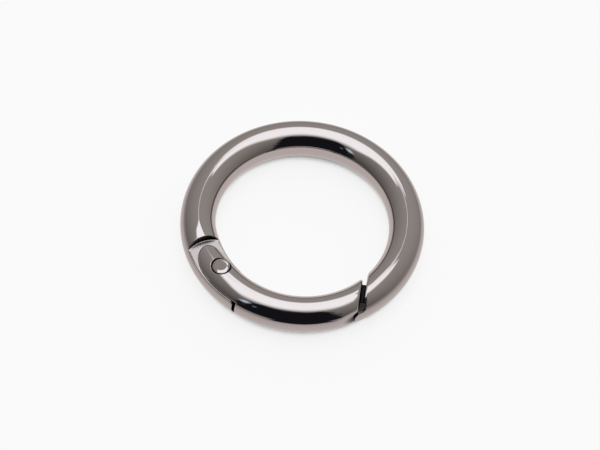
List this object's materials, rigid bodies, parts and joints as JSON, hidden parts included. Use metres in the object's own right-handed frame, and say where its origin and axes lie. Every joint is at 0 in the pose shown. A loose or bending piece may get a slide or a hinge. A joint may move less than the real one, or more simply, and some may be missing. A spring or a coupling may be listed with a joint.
{
  "type": "round spring-gate carabiner ring",
  "caption": "Round spring-gate ring of polished die-cast metal: a C-shaped body and a forked gate that hinges inwards on a rivet and latches in the body's nose.",
  "frame": {"origin": "centre of the ring, half way up its section", "axes": "+Z square to the ring's plane; the ring lies in XY with the hinge towards -X -Y and the latch towards +X -Y"},
  "size_m": [0.0352, 0.0352, 0.0052],
  "materials": {
    "gunmetal_plate": "mirror-polished gunmetal (black nickel) plating on zinc alloy",
    "rivet_plate": "polished gunmetal plating on steel",
    "spring_steel": "bright drawn spring wire"
  },
  "bodies": {
    "frame": {"ring_body": "gunmetal_plate"},
    "gate": {"gate": "gunmetal_plate", "hinge_rivet": "rivet_plate", "gate_spring": "spring_steel"}
  },
  "joints": [
    {"name": "gate_hinge", "type": "hinge", "parent": "frame", "child": "gate", "pos_m": [-0.01054, -0.01003, 0], "axis": [0, 0, 1], "range_deg": [0, 35], "stiffness_Nm_per_rad": 0.04, "springref_deg": -28.65, "deforming": ["gate_spring"]}
  ]
}
